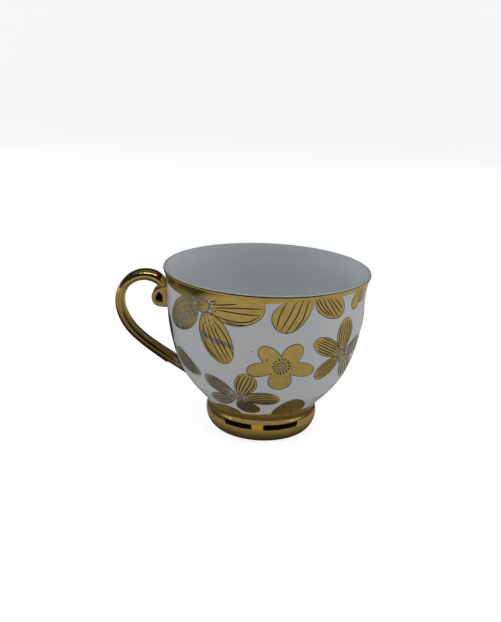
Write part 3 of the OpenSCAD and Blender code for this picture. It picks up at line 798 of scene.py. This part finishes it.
def ringShares(centre, edge, rows):
    # even shares from the centre to the edge, then two close to it so that the film stays flat to its rim
    reach = max(np.abs(edge - centre).max(), prints["leastReach"])
    last, close = [1 - gap / reach for gap in prints["edgeGaps"]]
    return np.r_[np.linspace(0, last, rows + 1)[1:], close, 1.0]


def film(place, centre, edge, lift, rows):
    # rings from the centre to the edge on top, down over the edge and back underneath, with a pole on each side
    columns = len(edge)
    share = ringShares(centre, edge, rows)
    flat = centre + share[:, None, None] * (edge - centre)
    height = np.r_[np.full(len(share) - 1, lift), 0.0][:, None]
    top = wrapped(place, flat, height)
    under = wrapped(place, flat, -prints["bury"])[::-1]
    poles = wrapped(place, np.stack([centre, centre]), np.array([lift, -prints["bury"]]))
    points = np.concatenate([top.reshape(-1, 3), under.reshape(-1, 3), poles])
    total = 2 * len(share)
    faces = [gridFaces(total, columns), fanFaces(0, columns, total * columns, True),
             fanFaces(total - 1, columns, total * columns + 1, False)]
    return points, faces


def ribbons(place, paths, widths, lift):
    # flat bars along lines: the four corners of a thin section at each point, closed at both ends
    paths = np.asarray(paths, float)
    along = np.gradient(paths, axis=1)
    along /= np.maximum(np.linalg.norm(along, axis=-1), 1e-9)[..., None]
    left = np.stack([-along[..., 1], along[..., 0]], -1) * np.asarray(widths)[..., None] / 2
    flat = np.stack([paths - left, paths + left, paths + left, paths - left], 2)
    points = wrapped(place, flat, np.array([lift, lift, -prints["lineBury"], -prints["lineBury"]]))
    count, length = paths.shape[:2]
    faces = []
    for i in range(count):
        first = i * length * 4
        faces += [gridFaces(length, 4, first=first), np.array([[0, 1, 2, 3]]) + first,
                  np.array([[3, 2, 1, 0]]) + first + (length - 1) * 4]
    return points.reshape(-1, 3), faces


def taper(count, length, width):
    # line width along a stroke, finer at both ends
    ends = prints["lineEnds"]
    t = np.linspace(0, 1, length)
    eased = np.minimum(1, prints["taperRate"] * np.minimum(t, 1 - t))
    return np.tile(width * (ends + (1 - ends) * eased), (count, 1))


def outlineRuns(points, inside, length=72, least=3, overrun=8):
    # the stretches of a closed outline that are inside, each as an open line; a whole outline closes on itself
    if inside.all():
        return [resample(np.concatenate([points, points[:2]]), length + overrun)]
    start = np.argmin(inside)
    points, inside = np.roll(points, -start, 0), np.roll(inside, -start)
    change = np.flatnonzero(np.diff(np.r_[0, inside.astype(int), 0]))
    return [resample(points[a:b], length + overrun) for a, b in change.reshape(-1, 2) if b - a > least]


def veins(petal, number, random):
    # lines from base to tip at even shares of the petal's half width, drawn in towards both ends
    v = veinShape
    direction, base, tip, half, swell = petal[:5]
    shares = (np.arange(number) + 0.5) / number * 2 - 1
    shares = shares * (1 - 0.5 / number) + random.uniform(-v["unevenness"], v["unevenness"], number)
    start = v["start"] + v["startCurve"] * shares**2 + random.uniform(0, v["startWander"], number)
    stop = v["stop"] - v["stopCurve"] * shares**2 - random.uniform(0, v["stopWander"], number)
    t = start[:, None] + (stop - start)[:, None] * np.linspace(0, 1, prints["veinPoints"])
    cosine = 2 * t - 1
    full = np.sqrt(1 - cosine**2)**v["fullness"] * (1 + swell * cosine)
    flat = np.stack([base + (tip - base) * t, half * shares[:, None] * full], -1)
    return turned(flat, direction)


def dots(place, centres, radius, lift, material, sides=10):
    # small round films
    edge = polar(np.ones(sides), np.arange(sides) * 360 / sides)
    made = []
    for centre in np.asarray(centres):
        points, faces = film(place, centre, centre + edge * radius, lift, 1)
        made.append([points, faces, material, None])
    return made


def solidEdge(petals, disc, count=240, fineness=1500):
    # a solid flower's edge is the farthest petal edge in each direction, and never nearer than its disc
    angle = np.linspace(0, 360, count, endpoint=False)[:, None]
    reach = np.full(count, disc)
    for petal in petals:
        line = petalLine(petal, fineness)
        bearing, far = np.degrees(np.arctan2(line[:, 1], line[:, 0])), np.linalg.norm(line, axis=1)
        beside = np.abs((bearing - angle + 180) % 360 - 180) < 360 / count
        reach = np.maximum(reach, np.where(beside, far, 0).max(1))
    reach = (np.roll(reach, 1) + 2 * reach + np.roll(reach, -1)) / 4
    return polar(reach, angle[:, 0])


def petalUv(petal, centre, edge, rows):
    # share of the way from base to tip, and share of the half width, of each point of a petal's film
    flat = centre + ringShares(centre, edge, rows)[:, None, None] * (edge - centre)
    flat = np.concatenate([flat.reshape(-1, 2), flat[::-1].reshape(-1, 2), [centre, centre]])
    local = turned(flat, -petal[0])
    return np.stack([(local[:, 0] - petal[1]) / (petal[2] - petal[1]), local[:, 1] / petal[3]], -1)


def between(inner, outer, degrees):
    # straight strokes out from the flower's centre, as pairs of points
    return np.stack([polar(np.zeros(len(degrees)) + inner, degrees), polar(outer, degrees)], 1)


def disc(place, radius, look, turns):
    # a pale ring, the gold disc on it, and dark seeds round and near its middle
    lift, seedAt = prints["lift"], look.get("seedAt", look.get("seedShare", 0) * radius)
    ringSides, discSides, seedSides = look["sides"]
    seeds = np.arange(look["seeds"]) * look["seedStep"] + turns
    seeds = np.concatenate([polar(np.full(look["seeds"], seedAt), seeds), look["middleSeeds"]])
    return (dots(place, [[0, 0]], radius + look["border"], lift + prints["ringRise"], paleSlate, ringSides)
            + dots(place, [[0, 0]], radius, lift + prints["discRise"], transferGold, discSides)
            + dots(place, seeds, look["seedR"], lift + prints["seedRise"], slate, seedSides))


def solidFlower(place, petals, radius, random, strokes):
    # one film for all petals, its outline, the disc and a ring of dashes
    look = centres["solid"]
    edge = solidEdge(petals, radius)
    points, faces = film(place, np.zeros(2), edge, prints["lift"], look["rows"])
    strokes.append((outlineRuns(edge, np.ones(len(edge), bool), len(edge)), prints["outline"]))
    number, dash = look["dashes"], look["dashWander"]
    degrees = np.arange(number) * 360 / number + random.uniform(-dash[0], dash[0], number)
    inner = look["dashFrom"] + random.uniform(-dash[1], dash[1], number)
    outer = look["dashTo"] + random.uniform(dash[2], dash[3], number)
    lines = [resample(line, look["dashPoints"]) for line in between(inner, outer, degrees)]
    strokes.append((lines, look["dashWidth"]))
    return [[points, faces, transferGold, None]] + disc(place, look["discR"], look, look["seedTurn"])


def petalFilms(place, petals, random, strokes, paleStrokes):
    # each petal's film with its outline and veins; a worn petal has pale veins and no outline
    p, parts = prints, []
    for k, petal in enumerate(petals):
        direction, base, tip = petal[:3]
        number, finish = petal[5:]
        edge = petalLine(petal, p["columns"])
        held, inside = kept(edge, place, p["filmOverlap"])
        middle = (held.max(0) + held.min(0)) / 2
        if inside.all():
            middle = turned(np.array([base + (tip - base) * p["middleShare"], 0.0]), direction)
        points, faces = film(place, middle, held, p["lift"] + p["petalRise"] * k, p["rows"])
        uv = petalUv(petal, middle, held, p["rows"])
        parts.append([points, faces, (transferGold, wornGold, streakedGold, hatchAndSheenGold)[finish], uv])
        worn = finish == 1
        if not worn:
            strokes.append((outlineRuns(edge, kept(edge, place, p["lineOverlap"])[1]), p["outline"]))
        if number:
            lines = [line[kept(line, place, p["veinOverlap"])[1]] for line in veins(petal, number, random)]
            lines = [resample(line, p["veinPoints"]) for line in lines if len(line) > p["leastPoints"]]
            dense = p["denseVein"] if number > p["denseFrom"] else 1
            (paleStrokes if worn else strokes).append((lines, p["vein"] * dense))
    return parts


def stems(inner, outer, degrees, look):
    # thin pale lines out from the disc
    return [resample(line, look["stemPoints"]) for line in between(inner, outer, degrees)], look["stemWidth"]


def makeFlower(index, entry):
    # a flower's films, then its disc, then all its lines: pale ones first
    node, azimuth, share, radius, kind, petals = entry
    random = np.random.default_rng(prints["seed"] + index)
    place = (np.radians(azimuth), share * wallLength)
    strokes, paleStrokes = [], []
    if kind == "solid":
        parts = solidFlower(place, petals, radius, random, strokes)
        if node == "flower_solid_front":
            strokes.append(([resample(marks["scratch"], marks["scratchPoints"])], marks["scratchWidth"]))
    else:
        parts = petalFilms(place, petals, random, strokes, paleStrokes)
    if kind in ("large", "line"):
        look = centres[kind]
        turns = random.uniform(-look["seedWander"], look["seedWander"], look["seeds"])
        parts += disc(place, radius, look, turns)
    if kind == "large":
        degrees, reach = np.array(look["stamens"]).T
        paleStrokes.append(stems(look["stemFrom"], reach - look["stemShort"], degrees, look))
        for size, rise, finish, sides in look["tips"]:
            parts += dots(place, polar(reach, degrees), size, prints["lineLift"] + rise, finish, sides)
    if kind == "line":
        gaps = np.sort(np.array([petal[0] for petal in petals])) + look["gapTurn"]
        degrees = np.concatenate([gaps + turn for turn in look["stemTurns"]])
        reach = radius + look["stemLength"] + random.uniform(*look["stemWander"], len(degrees))
        paleStrokes.append(stems(radius + look["stemFrom"], reach, degrees, look))
    lines = [curveThrough(line, prints["veinPoints"]) for line in drawnVeins.get(node, [])]
    strokes.append((lines, prints["vein"]))
    for group, ink in ((paleStrokes, paleSlate), (strokes, slate)):
        for lines, width in group:
            if lines:
                points, faces = ribbons(place, np.stack(lines), taper(len(lines), len(lines[0]), width),
                                        prints["lineLift"])
                parts.append([points, faces, ink, None])
    makeMesh(node.replace("flower_", "print_"), parts, slot="gold_transfer", replaced=[node])


for index, entry in enumerate(flowers):
    makeFlower(index, entry)
speckAzimuth, speckShare = marks["speckAt"]
speck = dots((np.radians(speckAzimuth), speckShare * wallLength), [[0, 0]], marks["speckR"], marks["speckLift"],
             slate)
makeMesh("firingSpeck", speck, slot="porcelain")
print("flowers made")

# the stage: the dome with its glowing floor, flat rings, upright bands, the lamp and the sky. Rings are
# name: [inner radius, outer radius, height, colour, strength, ray]; bands are name: [radius, lowest, highest,
# first azimuth, last azimuth, colour, strength, ray]; ray says which rays meet them, and nothing else does
cool, paleBlue, plain = (0.96, 0.98, 1), (0.8, 0.9, 1), (1, 1, 1)
stage = dict(
    dome=dict(flat=1400, round=1200, middle=1500, rows=(30, 60, 12), turns=96, glow=0.84, tint=0.5, rough=0.9),
    rings=dict(bounceFloor=[0.001, 1400, -0.5, plain, 0.45, "diffuse"],
               coveShade=[25.3, 34, 9.5, (1, 0.95, 0.9), 0.085, "glossy"]),
    shadedFloor=[0.001, 1400, -0.4, (1, 0.98, 0.95), 1.0, "glossy"],
    bands=dict(
        footShadeRight=[34, 0.2, 9.4, 3, 52, plain, 0.002, "glossy"],
        footShadeLeft=[34, 0.2, 9.4, -52, -12, plain, 0.002, "glossy"],
        footWarmth=[35, 0.2, 9.4, -13, 4, (1.0, 0.70, 0.25), 0.42, "glossy"],
        frontShade=[230, 36, 340, -40, 40, paleBlue, 0.02, "glossy"],
        roomShade=[960, 168, 1150, -180, 180, paleBlue, 0.03, "glossy"],
        horizon=[1000, -5, 170, -180, 180, plain, 0.26, "glossy"],
        leftLight=[950, 0, 750, -150, -60, cool, 0.98, "diffuse"],
        leftShine=[940, -5, 166, -150, -60, cool, 0.7, "glossy"],
        rightLight=[950, 0, 750, 60, 150, cool, 0.98, "diffuse"],
        rightShine=[940, -5, 166, 60, 150, cool, 0.7, "glossy"]),
    ringTurns=96, bandTurns=120, sky=0.12, skyColour=(0.95, 0.98, 1),
)
# shade on the reflected floor: distances from the axis in metres with the light there, and the darker patch
# behind and under the handle, by its edges on X and Y
floorShade = dict(
    near=(0.020, 0.036, 0.03, 0.25), far=(0.040, 0.110, 0, 0.12), rightEdge=(-0.065, -0.03, 0, 1),
    leftEdge=(-0.20, -0.13, 0.85, 0), frontEdge=(-0.07, -0.03, 1, 0), patch=0.13,
)
# the lamp over the front: place, aim and size in metres, power in watts
lamp = dict(place=(0.05, -0.5, 0.86), aim=(-0.02, 0, 0.05), size=(0.95, 0.13), power=1.7)


def glow(name, colour, strength):
    # plain light-giving surface for the stage
    material = bpy.data.materials.new(name)
    material.use_nodes = True
    tree = material.node_tree
    tree.nodes.remove(tree.nodes["Principled BSDF"])
    light = tree.nodes.new("ShaderNodeEmission")
    light.inputs["Color"].default_value = (*colour, 1)
    light.inputs["Strength"].default_value = strength
    tree.links.new(light.outputs[0], tree.nodes["Material Output"].inputs["Surface"])
    return material


def makeFloorShade(material):
    # floor for reflections: darkest at the foot, brightening outwards, with a second shade under the handle
    g, tree = floorShade, material.node_tree
    axes = axesOf(tree)
    away = [calculate(tree, "MULTIPLY", axes[axis], axes[axis]) for axis in "XY"]
    away = calculate(tree, "SQRT", calculate(tree, "ADD", *away))
    light = calculate(tree, "ADD", remap(tree, away, *g["near"], "SMOOTHSTEP"), remap(tree, away, *g["far"]))
    beside = remap(tree, axes["X"], *g["rightEdge"])
    for axis, edge in (("X", "leftEdge"), ("Y", "frontEdge")):
        beside = calculate(tree, "MAXIMUM", beside, remap(tree, axes[axis], *g[edge]))
    strength = calculate(tree, "MULTIPLY", light, remap(tree, beside, 0, 1, g["patch"], 1))
    tree.links.new(strength, tree.nodes["Emission"].inputs["Strength"])


def seenBy(piece, ray):
    # a piece of the stage that only the camera, diffuse or glossy rays meet
    for kind in ("camera", "diffuse", "glossy", "shadow", "transmission", "volume_scatter"):
        setattr(piece, "visible_" + kind, kind == ray)


def makeDome():
    # pale floor that turns up into a dome all round
    g = stage["dome"]
    material = newMaterial("paleFloor", **{
        "Roughness": g["rough"], "Base Color": (g["tint"],) * 3 + (1,), "Specular IOR Level": 0.0,
        "Emission Color": (1, 1, 1, 1), "Emission Strength": g["glow"]})[0]
    flatRows, roundRows, roofRows = g["rows"]
    flat = np.stack([np.linspace(0, g["flat"], flatRows), np.zeros(flatRows)], -1)
    angle = np.radians(np.linspace(-90, 90, roundRows)[1:])
    up = np.stack([g["flat"] + g["round"] * np.cos(angle), g["middle"] * (1 + np.sin(angle))], -1)
    roof = np.stack([np.linspace(g["flat"], 0, roofRows)[1:], np.full(roofRows - 1, 2.0 * g["middle"])], -1)
    points, faces = revolve(np.concatenate([flat, up, roof]), g["turns"])
    seenBy(makeMesh("paleFloor", [[points, [array[:, ::-1] for array in faces], material, None]]), "camera")


def ring(name, inner, outer, z, colour, strength, ray):
    # flat ring round the axis
    material = glow(name, colour, strength)
    azimuth = np.linspace(0, 2 * np.pi, stage["ringTurns"], endpoint=False)
    radius = np.array([inner, outer])[:, None]
    points = np.stack(np.broadcast_arrays(radius * np.sin(azimuth), -radius * np.cos(azimuth), z), -1)
    seenBy(makeMesh(name, [[points, [gridFaces(2, stage["ringTurns"])], material, None]]), ray)
    return material


def band(name, radius, low, high, start, stop, colour, strength, ray):
    # upright band round the axis, between two azimuths, seen from inside
    azimuth = np.radians(np.linspace(start, stop, stage["bandTurns"]))
    z = np.array([low, high])[:, None]
    points = np.stack(np.broadcast_arrays(radius * np.sin(azimuth), -radius * np.cos(azimuth), z), -1)
    faces = [gridFaces(2, stage["bandTurns"], closedColumns=False)]
    seenBy(makeMesh(name, [[points, faces, glow(name, colour, strength), None]]), ray)


def makeLamp():
    # rectangular studio light
    data = bpy.data.lights.new("topLight", "AREA")
    data.shape, data.energy = "RECTANGLE", lamp["power"]
    data.size, data.size_y = lamp["size"]
    light = bpy.data.objects.new("topLight", data)
    light.location = lamp["place"]
    light.rotation_mode = "QUATERNION"
    light.rotation_quaternion = (Vector(lamp["aim"]) - Vector(lamp["place"])).to_track_quat("-Z", "Y")
    light.visible_camera = False
    bpy.context.scene.collection.objects.link(light)


makeDome()
for name, values in stage["rings"].items():
    ring(name, *values)
makeFloorShade(ring("shadedFloor", *stage["shadedFloor"]))
for name, values in stage["bands"].items():
    band(name, *values)
makeLamp()

world = bpy.data.worlds.new("studio")
bpy.context.scene.world = world
world.use_nodes = True
sky = world.node_tree.nodes["Background"]
sky.inputs["Color"].default_value = (*stage["skyColour"], 1)
sky.inputs["Strength"].default_value = stage["sky"]

# the camera: target and distance in millimetres, angles in degrees
cameraView = dict(target=(-6.52, 0, 52.94), distance=400, elevation=17.6, roll=2.34, lens=52.51, sensor=36,
                  clip=(0.01, 20))


def makeCamera():
    c = cameraView
    data = bpy.data.cameras.new("camera")
    data.lens, data.sensor_width, data.sensor_fit = c["lens"], c["sensor"], "AUTO"
    data.clip_start, data.clip_end = c["clip"]
    camera = bpy.data.objects.new("camera", data)
    e = np.radians(c["elevation"])
    back = Vector((0, -np.cos(e), np.sin(e)))
    camera.location = (Vector(c["target"]) + back * c["distance"]) * metre
    camera.rotation_mode = "QUATERNION"
    camera.rotation_quaternion = (-back).to_track_quat("-Z", "Y") @ Quaternion((0, 0, 1), np.radians(c["roll"]))
    bpy.context.scene.collection.objects.link(camera)
    bpy.context.scene.camera = camera


makeCamera()
bpy.context.scene.view_settings.view_transform = "Standard"
print("stage and camera made")
